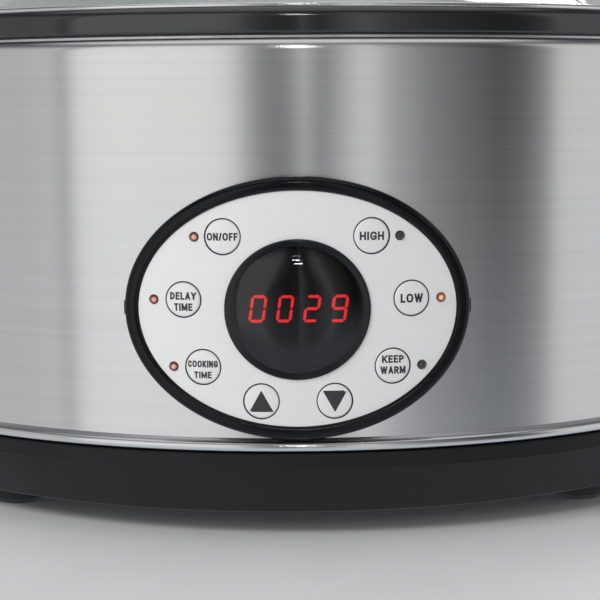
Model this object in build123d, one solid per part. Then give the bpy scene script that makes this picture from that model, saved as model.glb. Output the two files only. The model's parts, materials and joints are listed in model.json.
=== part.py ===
from build123d import *
import os
from math import asin, atan2, cos, degrees, radians, sin, sqrt, tan

# Oval electronic slow cooker of about 6.5 litres, in millimetres.
# X runs along the long axis of the oval, Y from the front to the rear, Z up.
# The origin is on the table under the middle of the oval; the control panel faces -Y.

# ---------------------------------------------------------------- body outline
BODY_HALF_LENGTH = 178.0
BODY_HALF_DEPTH = 138.0
END_RADIUS = 121.5
END_CENTRE = BODY_HALF_LENGTH - END_RADIUS
FRONT_RADIUS = (
    BODY_HALF_LENGTH**2 + BODY_HALF_DEPTH**2 - 2 * BODY_HALF_LENGTH * END_RADIUS
) / (2 * (BODY_HALF_DEPTH - END_RADIUS))
FRONT_CENTRE = FRONT_RADIUS - BODY_HALF_DEPTH
FRONT_HALF_ANGLE = degrees(atan2(END_CENTRE, FRONT_CENTRE))

# ---------------------------------------------------------------- levels
COVER_BOTTOM = 10.0
COVER_TOP = 11.2
STEEL_BOTTOM = 34.0
STEEL_TOP = 180.0
LINER_FLOOR = 50.0
CROCK_FLOOR = 53.5
CROCK_INNER_FLOOR = 62.0
RIM_BOTTOM = 181.0
RIM_TOP = 191.0
LEDGE = 187.0

# ---------------------------------------------------------------- sheet and wall thicknesses
STEEL = 0.8
LINER = 0.8
GLASS = 4.0

# ---------------------------------------------------------------- steel wall
SHOULDER_RADIUS = 4.0
TOP_FLANGE_REACH = 12.0
BEAD_RADIUS = 2.0
BEAD_OFFSET = 1.0
FLARE_RISE = 2.8
FLARE_ANGLE = 10.0

# ---------------------------------------------------------------- insets from the steel wall
LINER_INSET = 14.5
LINER_FLANGE_INSET = 4.5
LINER_CORNER = 12.0
CROCK_TOP_INSET = 17.0
CROCK_FOOT_INSET = 23.0
CROCK_WALL = 7.0
CROCK_PLATE_INSET = 54.0
RIM_INSET = 2.5
RECESS_INSET = 11.0

# ---------------------------------------------------------------- control panel
PANEL_Z = 85.6
PANEL_REACH = 24.0
FASCIA_PROUD = 3.5
FASCIA_BACK = 2.3
FASCIA_SIZE = (56.4, 41.75)
BEZEL_OUTER = (61.45, 46.75)
BEZEL_INNER = (56.55, 41.9)
BEZEL_PROUD = 4.6
BEZEL_OUTER_ROUND = 2.6
BEZEL_INNER_ROUND = 1.2
TAB_REACH = 0.45
TAB_PROUD = 2.2
SIDE_TAB_HEIGHT = 5.0
BOTTOM_TAB_WIDTH = 9.7
CUTOUT = (55.2, 40.6)
WALL_GAP = 0.05

# ---------------------------------------------------------------- display window
FRAME_SIZE = (25.8, 24.95)
FRAME_PROUD = 4.45
FRAME_ROUND = 0.7
COLLAR_SIZE = (24.4, 23.55)
LENS_SIZE = (23.2, 22.35)
LENS_BACK = 1.95
LEDGE_SIZE = (22.2, 21.35)
COLLAR_BACK = 1.3
LENS_FRONT = 146.0
LENS_CENTRE_RADIUS = 130.0
LENS_EDGE_START = 12.0
LENS_EDGE_RADIUS = 30.0
LENS_PROFILE_REACH = 24.0

# ---------------------------------------------------------------- buttons, LEDs, control board
BUTTON_RADIUS = 6.07
BUTTON_GAP = 0.35
BUTTON_FLANGE = 6.85
BUTTON_TRAVEL = 0.6
BUTTON_CROWN = 0.55
FLANGE_THICKNESS = 0.8
STEM_RADIUS = 1.5
LED_RADIUS = 1.5
LED_HOLE_GAP = 0.25
LED_DOME = 1.2
LED_FLANGE_RADIUS = 1.9
LED_DEPTH = 4.1
LEAD_SIZE = 0.5
LEAD_OFFSET = 0.9
BOARD_FRONT = 128.5
BOARD_THICKNESS = 1.6
BOARD_SIZE = (106.0, 74.0)
SWITCH_BODY = 3.3
SWITCH_WIDTH = 6.0
SWITCH_HEIGHT = 4.3
PLUNGER_RADIUS = 1.7
MODULE_SIZE = (40.2, 7.2, 16.0)
MODULE_X = 0.4
# Name: distance round the panel from its middle, height above its middle.
BUTTONS = {
    "on_off": (-26.0, 25.8),
    "delay_time": (-40.4, 3.5),
    "cooking_time": (-33.6, -20.5),
    "time_up": (-12.9, -32.6),
    "time_down": (12.9, -32.6),
    "keep_warm": (33.6, -20.5),
    "low": (40.4, 3.5),
    "high": (26.0, 25.8),
}
LEDS = {
    "on_off": (-36.2, 25.7),
    "delay_time": (-51.2, 3.4),
    "cooking_time": (-44.3, -20.5),
    "keep_warm": (44.3, -20.5),
    "low": (51.2, 3.4),
    "high": (36.2, 25.7),
}

# ---------------------------------------------------------------- panel carrier
CARRIER_OUTER = (54.9, 40.3)
CARRIER_INNER = (53.1, 38.5)
CARRIER_FLANGE = (64.0, 49.0)
CARRIER_BACK = -2.4
CARRIER_FLANGE_FRONT = -0.9
WEB_BACK = 1.2
POST_X = 48.0
POST_Z = 33.0

# ---------------------------------------------------------------- screws
PANEL_SCREW_RADIUS = 0.95
PANEL_SCREW_LENGTH = 6.4
HANDLE_SCREW_RADIUS = 1.7
BASE_SCREW_RADIUS = 1.25
BOARD_SCREW_RADIUS = 1.15
TIE_BOLT_RADIUS = 2.5

# ---------------------------------------------------------------- handles, feet, base
HANDLE_Z = 134.0
HANDLE_HEIGHT = 20.0
HANDLE_REACH = 160.0
HANDLE_GRIP = 12.0
HANDLE_ROUND = 4.5
HANDLE_SCREW_ANGLE = 17.0
FOOT_X = 112.0
FOOT_Y = 72.0
BOSS_INSET = 14.0
BOSS_ANGLE = 40.0
BOSS_RADIUS = 4.2
BOSS_BOTTOM = 11.3
BOSS_HEIGHT = 16.0
COVER_INSET = 9.0
SLOT_LENGTH = 34.0
SLOT_WIDTH = 3.0
SLOT_PITCH = 9.0
SLOT_ROWS = 7
SLOT_X = 70.0

# ---------------------------------------------------------------- cord inlet
GLAND_Z = 20.0
GLAND_BORE = 3.6
GLAND_INNER_END = 124.0
GLAND_OUTER_END = 146.0
GLAND_WAIST = 6.0
GLAND_FLANGE = 6.9

# ---------------------------------------------------------------- heater, sensor, fuse
HEATER_BOTTOM = 64.0
HEATER_TOP = 112.0
STRAP_BOTTOM = 84.0
STRAP_TOP = 92.0
BUSH_RADIUS = 6.0
SENSOR_X = 38.0
SENSOR_Y = -24.0
CLIP_LENGTH = 30.0
CLIP_WIDTH = 10.0
CLIP_THICKNESS = 1.2
FUSE_X = 36.0
FUSE_Y = 46.0
LEAD_XS = (-67.0, -57.0)
LEAD_Z = 28.0

# ---------------------------------------------------------------- power board
POWER_BOARD_X = -62.0
POWER_BOARD_SIZE = (92.0, 76.0)
POWER_BOARD_BOTTOM = 19.6
POWER_BOARD_TOP = POWER_BOARD_BOTTOM + BOARD_THICKNESS
STANDOFF_X = 41.0
STANDOFF_Y = 33.0
STANDOFF_RADIUS = 3.4
RIBBON_X = -40.0
RIBBON_WIDTH = 16.0
RIBBON_THICKNESS = 0.9

# ---------------------------------------------------------------- lid
DOME_START = 20.0
DOME_END = 112.0
DOME_RISE = 28.0
GLASS_EDGE_INSET = 13.1
GLASS_BOTTOM = 188.0
GLASS_TOP = GLASS_BOTTOM + GLASS + DOME_RISE
GLASS_UNDER = GLASS_TOP - GLASS
GLASS_HOLE_RADIUS = 3.2
KNOB_HEIGHT = 26.0
KNOB_SCREW_RADIUS = 2.5
KNOB_BASE_HEIGHT = 2.0
WASHER_THICKNESS = 1.2
VENT_X = 46.0
VENT_BORE = 1.5
VENT_FLANGE = 5.0

# Centre x, centre y, wall radius, heading and half angle of the four arcs of the oval.
ARCS = [
    (0, FRONT_CENTRE, FRONT_RADIUS, -90, FRONT_HALF_ANGLE),
    (END_CENTRE, 0, END_RADIUS, 0, 90 - FRONT_HALF_ANGLE),
    (0, -FRONT_CENTRE, FRONT_RADIUS, 90, FRONT_HALF_ANGLE),
    (-END_CENTRE, 0, END_RADIUS, 180, 90 - FRONT_HALF_ANGLE),
]


def save(name, shape):
    """Write one sub-part to its own STEP file."""
    shape.label = name
    export_step(shape, f"parts/{name}.step")


# ---------------------------------------------------------------- oval geometry
def oval_face(inset):
    """Oval outline that runs a constant distance inside the steel wall."""
    arcs = []
    for x, y, radius, heading, half in ARCS:
        arcs.append(CenterArc((x, y), radius - inset, heading - half, 2 * half))
    return make_face(arcs)


def oval_plate(inset, bottom, top):
    return Pos(0, 0, bottom) * extrude(oval_face(inset), top - bottom)


def oval_ring(section):
    """Carry a section round the oval: its x is the distance outside the wall, its y the height."""
    pieces = []
    for x, y, radius, heading, half in ARCS:
        turned = revolve(Plane.XZ * (Pos(radius, 0) * section), Axis.Z, 2 * half)
        pieces.append(Pos(x, y, 0) * Rot(0, 0, heading - half) * turned)
    return pieces[0] + pieces[1:]


def polygon(*points):
    return make_face(Polyline(*points, close=True))


def rounded(face, rounding):
    """Round the corners of a section: each entry is a corner point and its radius."""
    for corner, radius in rounding:
        vertex = face.vertices().sort_by_distance(Vector(*corner))[0]
        face = fillet(vertex, radius)
    return face


def strip(x0, z0, x1, z1):
    """Upright rectangle of a section, between two opposite corners."""
    return Pos((x0 + x1) / 2, (z0 + z1) / 2) * Rectangle(abs(x1 - x0), abs(z1 - z0))


def end_point(side, angle, inset):
    """Point on the round end of the oval, at an angle from the long axis."""
    reach = END_RADIUS - inset
    return side * (END_CENTRE + reach * cos(radians(angle))), reach * sin(radians(angle))


def turned_part(*points):
    """Solid of revolution about Z from its half section, given as radius and height."""
    return revolve(Plane.XZ * polygon(*points), Axis.Z, 360)


# ---------------------------------------------------------------- panel geometry
def panel_prism(half_width, half_height):
    """Elliptical bar that runs from front to rear through the panel."""
    face = Plane.XZ * Ellipse(half_width, half_height)
    return Pos(0, PANEL_REACH - BODY_HALF_DEPTH, PANEL_Z) * extrude(face, 2 * PANEL_REACH)


def panel_shell(inner, outer):
    """Upright shell concentric with the front wall, between two distances outside it."""
    tall = 4 * BEZEL_OUTER[1]
    ring = Cylinder(FRONT_RADIUS + outer, tall) - Cylinder(FRONT_RADIUS + inner, tall)
    return Pos(0, FRONT_CENTRE, PANEL_Z) * ring


def panel_slab(size, inner, outer):
    return panel_prism(*size) & panel_shell(inner, outer)


def panel_plane(around, height):
    """Plane on the front of the fascia, with its Z axis pointing out of the panel."""
    radius = FRONT_RADIUS + FASCIA_PROUD
    turn = around / radius
    origin = (radius * sin(turn), FRONT_CENTRE - radius * cos(turn), PANEL_Z + height)
    return Plane(origin, x_dir=(cos(turn), sin(turn), 0), z_dir=(sin(turn), -cos(turn), 0))


def panel_drill(positions, radius):
    """Bars through the panel, one at each button or LED."""
    bars = [panel_plane(*place) * Cylinder(radius, 30) for place in positions.values()]
    return bars[0] + bars[1:]


def depth_to_board(around):
    """Distance along the local normal from the fascia to the front of the control board."""
    plane = panel_plane(around, 0)
    return (-BOARD_FRONT - plane.origin.Y) / -plane.z_dir.Y


# ---------------------------------------------------------------- body shells
def outer_housing():
    """Brushed steel wall with a rolled bead at the bottom and a turned-in top edge."""
    shoulder_z = STEEL_TOP - SHOULDER_RADIUS
    bead_z = STEEL_BOTTOM + BEAD_RADIUS
    flare_z = bead_z + FLARE_RISE
    lean = radians(FLARE_ANGLE)
    meet = (BEAD_OFFSET - BEAD_RADIUS * sin(lean), bead_z + BEAD_RADIUS * cos(lean))
    wall = strip(-STEEL, flare_z, 0, shoulder_z)
    turn = Circle(SHOULDER_RADIUS) - Circle(SHOULDER_RADIUS - STEEL)
    turn = Pos(-SHOULDER_RADIUS, shoulder_z) * turn & strip(-SHOULDER_RADIUS, shoulder_z, 0, STEEL_TOP)
    flange = strip(-TOP_FLANGE_REACH, STEEL_TOP - STEEL, -SHOULDER_RADIUS, STEEL_TOP)
    bead_inner = BEAD_OFFSET - BEAD_RADIUS + 0.1
    flare = polygon((0, flare_z), meet, (bead_inner, bead_z), (-STEEL, bead_z), (-STEEL, flare_z))
    roll = Pos(BEAD_OFFSET, bead_z) * (Circle(BEAD_RADIUS) - Circle(BEAD_RADIUS - STEEL))
    housing = oval_ring(wall + turn + flange + flare + roll)
    housing -= panel_prism(*CUTOUT)
    for place in panel_screw_places():
        housing -= place * Cylinder(PANEL_SCREW_RADIUS + 0.25, 6)
    for side in (-1, 1):
        for place in handle_screw_planes(side):
            housing -= place * Cylinder(HANDLE_SCREW_RADIUS + 0.5, 12)
    return housing


def panel_screw_places():
    """Four places on the wall behind the middle of the bezel, with Z pointing forwards."""
    half_width = (BEZEL_OUTER[0] + BEZEL_INNER[0]) / 2
    half_height = (BEZEL_OUTER[1] + BEZEL_INNER[1]) / 2
    places = []
    for angle in (45, 135, 225, 315):
        x = half_width * cos(radians(angle))
        z = PANEL_Z + half_height * sin(radians(angle))
        wall_y = FRONT_CENTRE - sqrt(FRONT_RADIUS**2 - x**2)
        places.append(Pos(x, wall_y, z) * Rot(90, 0, 0))
    return places


def boss_places():
    places = []
    for side in (-1, 1):
        for angle in (-BOSS_ANGLE, BOSS_ANGLE):
            places.append(end_point(side, angle, BOSS_INSET))
    return places


def base_skirt():
    """Black moulded base: a flange under the steel bead over a recessed, tapered skirt."""
    section = polygon(
        (2.4, 33.6),
        (2.4, 27.6),
        (1.0, 27.2),
        (-6.5, 9.5),
        (-8.8, 9.5),
        (-8.8, 11.3),
        (-12, 11.3),
        (-12, 13.3),
        (-7.6, 13.3),
        (-2.6, 25.6),
        (-3.6, 27),
        (-3.6, 44),
        (-1.1, 44),
        (-1.1, 33.6),
    )
    section = rounded(section, [((2.4, 33.6), 0.8), ((2.4, 27.6), 0.5), ((-6.5, 9.5), 1.2)])
    skirt = oval_ring(section)
    boss_z = BOSS_BOTTOM + BOSS_HEIGHT / 2
    for x, y in boss_places():
        skirt += Pos(x, y, boss_z) * Cylinder(BOSS_RADIUS, BOSS_HEIGHT)
        skirt -= Pos(x, y, boss_z - 2) * Cylinder(BASE_SCREW_RADIUS + 0.05, BOSS_HEIGHT - 3)
    skirt -= panel_prism(CARRIER_FLANGE[0] + 1, CARRIER_FLANGE[1] + 1)
    return skirt - Pos(0, BODY_HALF_DEPTH, GLAND_Z) * Rot(90, 0, 0) * Cylinder(GLAND_WAIST + 0.1, 60)


def bottom_cover():
    """Pressed steel cover with vent slots and spacers for the power board."""
    cover = oval_plate(COVER_INSET, COVER_BOTTOM, COVER_TOP)
    cover -= Pos(0, 0, COVER_BOTTOM) * Cylinder(TIE_BOLT_RADIUS + 0.3, 10)
    for x, y in boss_places():
        cover -= Pos(x, y, COVER_BOTTOM) * Cylinder(1.9, 10)
    for x, y in foot_places().values():
        cover -= Pos(x, y, COVER_BOTTOM) * Cylinder(4.2, 10)
    slot = extrude(SlotOverall(SLOT_LENGTH, SLOT_WIDTH), 5)
    for row in range(SLOT_ROWS):
        slot_y = SLOT_PITCH * (row - (SLOT_ROWS - 1) / 2)
        for slot_x in (-SLOT_X, SLOT_X):
            cover -= Pos(slot_x, slot_y, COVER_BOTTOM - 2) * slot
    height = POWER_BOARD_BOTTOM - COVER_TOP
    spacer = Cylinder(STANDOFF_RADIUS, height) - Cylinder(BOARD_SCREW_RADIUS + 0.05, height)
    for x, y in standoff_places():
        cover += Pos(x, y, COVER_TOP + height / 2) * spacer
    return cover


def foot_places():
    return {
        "front_left": (-FOOT_X, -FOOT_Y),
        "front_right": (FOOT_X, -FOOT_Y),
        "rear_left": (-FOOT_X, FOOT_Y),
        "rear_right": (FOOT_X, FOOT_Y),
    }


def rubber_foot():
    """Rubber pad with a spigot that snaps through the bottom cover."""
    barb = COVER_TOP + 0.1
    pad = turned_part((0, 0), (11.5, 0), (13, 2), (13, COVER_BOTTOM), (0, COVER_BOTTOM))
    spigot = turned_part((0, COVER_BOTTOM), (4, COVER_BOTTOM), (4, barb), (5.4, barb), (3, 14.5), (0, 14.5))
    return pad + spigot


def heating_liner():
    """Aluminised pan that holds the crock: flange, wall, rounded corner, floor and a tapped bush."""
    flange = strip(-LINER_INSET, STEEL_TOP, -LINER_FLANGE_INSET, STEEL_TOP + LINER)
    corner_z = LINER_FLOOR + LINER_CORNER
    wall = strip(-LINER_INSET - LINER, corner_z, -LINER_INSET, STEEL_TOP + LINER)
    corner_x = -LINER_INSET - LINER_CORNER
    corner = Pos(corner_x, corner_z) * (Circle(LINER_CORNER) - Circle(LINER_CORNER - LINER))
    corner = corner & strip(corner_x, LINER_FLOOR, corner_x + LINER_CORNER, corner_z)
    liner = oval_ring(flange + wall + corner)
    liner += oval_plate(-corner_x, LINER_FLOOR, LINER_FLOOR + LINER)
    bush = Cylinder(BUSH_RADIUS, 10) - Cylinder(TIE_BOLT_RADIUS + 0.1, 10)
    return liner + Pos(0, 0, LINER_FLOOR - 5) * bush


def crock():
    """Glazed stoneware pot that hangs in the liner by its rim, with a ledge for the lid."""
    inner_top = CROCK_TOP_INSET + CROCK_WALL
    inner_foot = CROCK_FOOT_INSET + CROCK_WALL
    section = polygon(
        (-RIM_INSET, RIM_BOTTOM),
        (-RIM_INSET, RIM_TOP),
        (-RECESS_INSET, RIM_TOP),
        (-RECESS_INSET, LEDGE),
        (-inner_top, LEDGE),
        (-inner_foot, CROCK_INNER_FLOOR),
        (-CROCK_PLATE_INSET, CROCK_INNER_FLOOR),
        (-CROCK_PLATE_INSET, CROCK_FLOOR),
        (-CROCK_FOOT_INSET, CROCK_FLOOR),
        (-CROCK_TOP_INSET, RIM_BOTTOM),
    )
    section = rounded(
        section,
        [
            ((-RIM_INSET, RIM_BOTTOM), 1.5),
            ((-RIM_INSET, RIM_TOP), 4.0),
            ((-RECESS_INSET, RIM_TOP), 2.0),
            ((-RECESS_INSET, LEDGE), 0.8),
            ((-inner_top, LEDGE), 3.0),
            ((-inner_foot, CROCK_INNER_FLOOR), 18.0),
            ((-CROCK_FOOT_INSET, CROCK_FLOOR), 12.0),
            ((-CROCK_TOP_INSET, RIM_BOTTOM), 1.5),
        ],
    )
    return oval_ring(section) + oval_plate(CROCK_PLATE_INSET, CROCK_FLOOR, CROCK_INNER_FLOOR)


# ---------------------------------------------------------------- heating
def heater_band():
    """Mica heater wrapped round the lower part of the liner."""
    return oval_ring(strip(-LINER_INSET + 0.05, HEATER_BOTTOM, -LINER_INSET + 1.25, HEATER_TOP))


def heater_strap():
    """Steel strap that clamps the heater band, with a screw lug at the rear."""
    middle = (STRAP_BOTTOM + STRAP_TOP) / 2
    height = STRAP_TOP - STRAP_BOTTOM
    strap = oval_ring(strip(-LINER_INSET + 1.3, STRAP_BOTTOM, -LINER_INSET + 1.9, STRAP_TOP))
    lug_y = BODY_HALF_DEPTH - LINER_INSET + 1.6
    for x in (-4, 4):
        strap += Pos(x, lug_y + 3.1, middle) * Box(1.2, 6.4, height)
    return strap + Pos(0, lug_y + 3.9, middle) * Rot(0, 90, 0) * Cylinder(1.6, 14)


def tie_bolt():
    """Bolt that pulls the liner down against the bottom cover."""
    head_height = 3.2
    head = Pos(0, 0, COVER_BOTTOM - head_height) * extrude(RegularPolygon(5, 6), head_height)
    return head + Pos(0, 0, 28) * Cylinder(TIE_BOLT_RADIUS, 36)


def tie_washer():
    thickness = 1.4
    return Pos(0, 0, COVER_TOP + 0.05 + thickness / 2) * (
        Cylinder(7, thickness) - Cylinder(TIE_BOLT_RADIUS + 0.2, thickness)
    )


def temperature_sensor():
    """Sensor capsule pressed up against the liner's floor."""
    return Pos(SENSOR_X, SENSOR_Y, LINER_FLOOR - 3.6) * (Cylinder(4, 7) + Pos(0, 0, -2.5) * Cylinder(6, 2))


def sensor_clip():
    """Leaf bracket under the sensor, standing on the bottom cover."""
    leaf_z = LINER_FLOOR - 8.0
    foot_height = leaf_z - CLIP_THICKNESS / 2 - COVER_TOP
    foot_x = (CLIP_LENGTH - CLIP_THICKNESS) / 2
    bracket = Pos(SENSOR_X, SENSOR_Y, leaf_z) * Box(CLIP_LENGTH, CLIP_WIDTH, CLIP_THICKNESS)
    for x in (SENSOR_X - foot_x, SENSOR_X + foot_x):
        bracket += Pos(x, SENSOR_Y, COVER_TOP + foot_height / 2) * Box(CLIP_THICKNESS, CLIP_WIDTH, foot_height)
    return bracket


def thermal_fuse():
    """Axial thermal cut-out under the liner, with its two short leads."""
    place = Pos(FUSE_X, FUSE_Y, LINER_FLOOR - 2.2) * Rot(0, 90, 0)
    return place * Cylinder(2, 11) + place * Cylinder(0.5, 40)


def heater_leads():
    """Two insulated leads from the heater band down to the terminal block."""
    leads = []
    for x in LEAD_XS:
        path = FilletPolyline((x, 121, 74), (x, 121, LEAD_Z), (x, 38.2, LEAD_Z), radius=10)
        leads.append(sweep(Plane(path @ 0, z_dir=path % 0) * Circle(1.2), path))
    return leads[0] + leads[1]


# ---------------------------------------------------------------- power board
def standoff_places():
    return [(POWER_BOARD_X + x, y) for x in (-STANDOFF_X, STANDOFF_X) for y in (-STANDOFF_Y, STANDOFF_Y)]


def on_power_board(x, y, length, width, height):
    """Rectangular component standing on the power board."""
    return Pos(x, y, POWER_BOARD_TOP + height / 2) * Box(length, width, height)


def power_board():
    outline = RectangleRounded(*POWER_BOARD_SIZE, 3)
    board = Pos(POWER_BOARD_X, 0, POWER_BOARD_BOTTOM) * extrude(outline, BOARD_THICKNESS)
    for x, y in standoff_places():
        board -= Pos(x, y, POWER_BOARD_BOTTOM) * Cylinder(1.6, 4)
    return board


def power_transformer():
    """Iron core with a wound coil across it."""
    core = on_power_board(-86, -12, 28, 24, 15)
    return core + on_power_board(-86, -12, 16, 30, 12)


def power_capacitors():
    height = 14.0
    group = [Pos(x, -22, POWER_BOARD_TOP + height / 2) * Cylinder(4, height) for x in (-58, -46)]
    return group[0] + group[1]


def terminal_block():
    block = on_power_board(POWER_BOARD_X, 31, 24, 14, 11)
    for x in LEAD_XS:
        block -= Pos(x, 38, LEAD_Z) * Rot(90, 0, 0) * Cylinder(1.9, 8)
    return block


def board_screws():
    screws = []
    for x, y in standoff_places():
        head = Pos(x, y, POWER_BOARD_TOP + 1) * Cylinder(2.7, 2)
        screws.append(head + Pos(x, y, POWER_BOARD_TOP - 4) * Cylinder(BOARD_SCREW_RADIUS, 8))
    return screws[0] + screws[1:]


def ribbon_cable():
    """Flat cable from the rear of the control board down to the power board."""
    top_y = BOARD_THICKNESS - BOARD_FRONT + 1.3
    path = FilletPolyline(
        (RIBBON_X, top_y, 56),
        (RIBBON_X, top_y, 27),
        (RIBBON_X, -44, 27),
        (RIBBON_X, -31, 22.6),
        radius=3,
    )
    section = Plane(path @ 0, x_dir=(1, 0, 0), z_dir=path % 0) * Rectangle(RIBBON_WIDTH, RIBBON_THICKNESS)
    return sweep(section, path)


# ---------------------------------------------------------------- control panel
def panel_bezel():
    """Glossy black oval frame, curved with the wall, with a rounded crown and three release tabs."""
    bezel = panel_slab(BEZEL_OUTER, WALL_GAP, BEZEL_PROUD) - panel_prism(*BEZEL_INNER)
    bezel = round_front(bezel, BEZEL_PROUD, max, BEZEL_OUTER_ROUND)
    bezel = round_front(bezel, BEZEL_PROUD, min, BEZEL_INNER_ROUND)
    bezel += release_tabs()
    for place in panel_screw_places():
        bezel -= place * Cylinder(PANEL_SCREW_RADIUS + WALL_GAP, 7)
    return bezel


def release_tabs():
    """Low tabs at the left, the right and the bottom of the bezel, for a blade to lift it by."""
    reach = (BEZEL_OUTER[0] + TAB_REACH, BEZEL_OUTER[1] + TAB_REACH)
    middle = ((BEZEL_OUTER[0] + BEZEL_INNER[0]) / 2, (BEZEL_OUTER[1] + BEZEL_INNER[1]) / 2)
    rim = panel_slab(reach, WALL_GAP, TAB_PROUD) - panel_prism(*middle)
    side = Pos(0, -BODY_HALF_DEPTH, PANEL_Z) * Box(3 * BEZEL_OUTER[0], 2 * PANEL_REACH, SIDE_TAB_HEIGHT)
    bottom = Pos(0, -BODY_HALF_DEPTH, PANEL_Z - BEZEL_OUTER[1]) * Box(BOTTOM_TAB_WIDTH, 2 * PANEL_REACH, 20)
    return (rim & side) + (rim & bottom)


def round_front(ring, proud, choose, radius):
    """Round one front edge of a panel ring: max chooses the outer edge, min the inner one."""
    front = [edge for edge in ring.edges() if on_shell(edge, proud)]
    return fillet([choose(front, key=edge_height)], radius)


def edge_height(edge):
    return edge.bounding_box().size.Z


def on_shell(edge, proud):
    """Whether an edge lies on the shell a given distance outside the front wall."""
    for share in (0.1, 0.4, 0.8):
        point = edge.position_at(share)
        radius = sqrt(point.X**2 + (point.Y - FRONT_CENTRE) ** 2)
        if abs(radius - FRONT_RADIUS - proud) > 0.01:
            return False
    return True


def fascia_plate():
    """Silver oval plate with holes for the buttons, the LEDs and the display window."""
    plate = panel_slab(FASCIA_SIZE, FASCIA_BACK, FASCIA_PROUD)
    plate -= panel_drill(BUTTONS, BUTTON_RADIUS + BUTTON_GAP)
    plate -= panel_drill(LEDS, LED_RADIUS + LED_HOLE_GAP)
    return plate - panel_prism(COLLAR_SIZE[0] + 0.1, COLLAR_SIZE[1] + 0.1)


def window_frame():
    """Black ring round the display window: a flange on the fascia and a collar that holds the lens."""
    ring = panel_slab(FRAME_SIZE, FASCIA_PROUD, FRAME_PROUD)
    ring = round_front(ring, FRAME_PROUD, max, FRAME_ROUND)
    ring += panel_slab(COLLAR_SIZE, COLLAR_BACK, FASCIA_PROUD + 0.1)
    ring -= panel_slab((LENS_SIZE[0] + 0.1, LENS_SIZE[1] + 0.1), LENS_BACK - 0.05, BEZEL_PROUD)
    return ring - panel_prism(*LEDGE_SIZE)


def display_window():
    """Dark lens over the display: a flat-domed middle that rolls off towards its edge."""
    start = lens_point(LENS_EDGE_START)
    centre_arc = ThreePointArc((0, LENS_FRONT), lens_point(LENS_EDGE_START / 2), start)
    between = lens_point((LENS_EDGE_START + LENS_PROFILE_REACH) / 2)
    edge_arc = ThreePointArc(start, between, lens_point(LENS_PROFILE_REACH))
    side = Polyline(edge_arc @ 1, (LENS_PROFILE_REACH, 0), (0, 0), (0, LENS_FRONT))
    dome = revolve(Plane.XZ * make_face([centre_arc, edge_arc, side]), Axis.Z, 360)
    dome = Pos(0, 0, PANEL_Z) * Rot(90, 0, 0) * dome
    return (panel_prism(*LENS_SIZE) & dome) - panel_shell(-PANEL_REACH, LENS_BACK)


def lens_point(radius):
    """Point of the lens's profile: distance from its middle, and how far forwards it stands."""
    if radius <= LENS_EDGE_START:
        drop = LENS_CENTRE_RADIUS - sqrt(LENS_CENTRE_RADIUS**2 - radius**2)
        return radius, LENS_FRONT - drop
    start_tilt = asin(LENS_EDGE_START / LENS_CENTRE_RADIUS)
    tilt = asin(sin(start_tilt) + (radius - LENS_EDGE_START) / LENS_EDGE_RADIUS)
    drop = LENS_CENTRE_RADIUS * (1 - cos(start_tilt)) + LENS_EDGE_RADIUS * (cos(start_tilt) - cos(tilt))
    return radius, LENS_FRONT - drop


def panel_carrier():
    """Moulded frame behind the fascia: face web, collar through the wall and inner flange."""
    web = panel_slab(CARRIER_OUTER, WEB_BACK, FASCIA_BACK - 0.05)
    collar = panel_slab(CARRIER_OUTER, CARRIER_BACK, WEB_BACK) - panel_prism(*CARRIER_INNER)
    flange = panel_slab(CARRIER_FLANGE, CARRIER_BACK, CARRIER_FLANGE_FRONT) - panel_prism(*CARRIER_INNER)
    carrier = web + collar + flange
    carrier -= panel_drill(BUTTONS, BUTTON_FLANGE + 0.35)
    carrier -= panel_drill(LEDS, LED_RADIUS + 0.5)
    carrier -= panel_prism(COLLAR_SIZE[0] + 0.3, COLLAR_SIZE[1] + 0.3)
    for place in panel_screw_places():
        carrier -= place * Cylinder(PANEL_SCREW_RADIUS + 0.25, 20)
    for x in (-POST_X, POST_X):
        for z in (-POST_Z, POST_Z):
            post = Pos(x, -BOARD_FRONT - 3.05, PANEL_Z + z) * Rot(90, 0, 0) * Cylinder(2.0, 6)
            carrier += post & panel_shell(-20, -1.0)
    return carrier


def control_board():
    board = Plane.XZ * RectangleRounded(*BOARD_SIZE, 5)
    return Pos(0, -BOARD_FRONT + BOARD_THICKNESS, PANEL_Z) * extrude(board, BOARD_THICKNESS)


def display_module():
    """Four-digit LED display block standing on the control board."""
    return Pos(MODULE_X, -BOARD_FRONT - MODULE_SIZE[1] / 2, PANEL_Z) * Box(*MODULE_SIZE)


def tact_switches():
    """One small push switch on the board behind each button."""
    switches = []
    for around, height in BUTTONS.values():
        plane = panel_plane(around, height)
        depth = depth_to_board(around) - SWITCH_HEIGHT
        x = plane.origin.X - plane.z_dir.X * depth
        place = Pos(x, -BOARD_FRONT, PANEL_Z + height) * Rot(90, 0, 0)
        body = Pos(0, 0, SWITCH_BODY / 2) * Box(SWITCH_WIDTH, SWITCH_WIDTH, SWITCH_BODY)
        plunger = Pos(0, 0, SWITCH_HEIGHT / 2) * Cylinder(PLUNGER_RADIUS, SWITCH_HEIGHT)
        switches.append(place * (body + plunger))
    return switches[0] + switches[1:]


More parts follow.
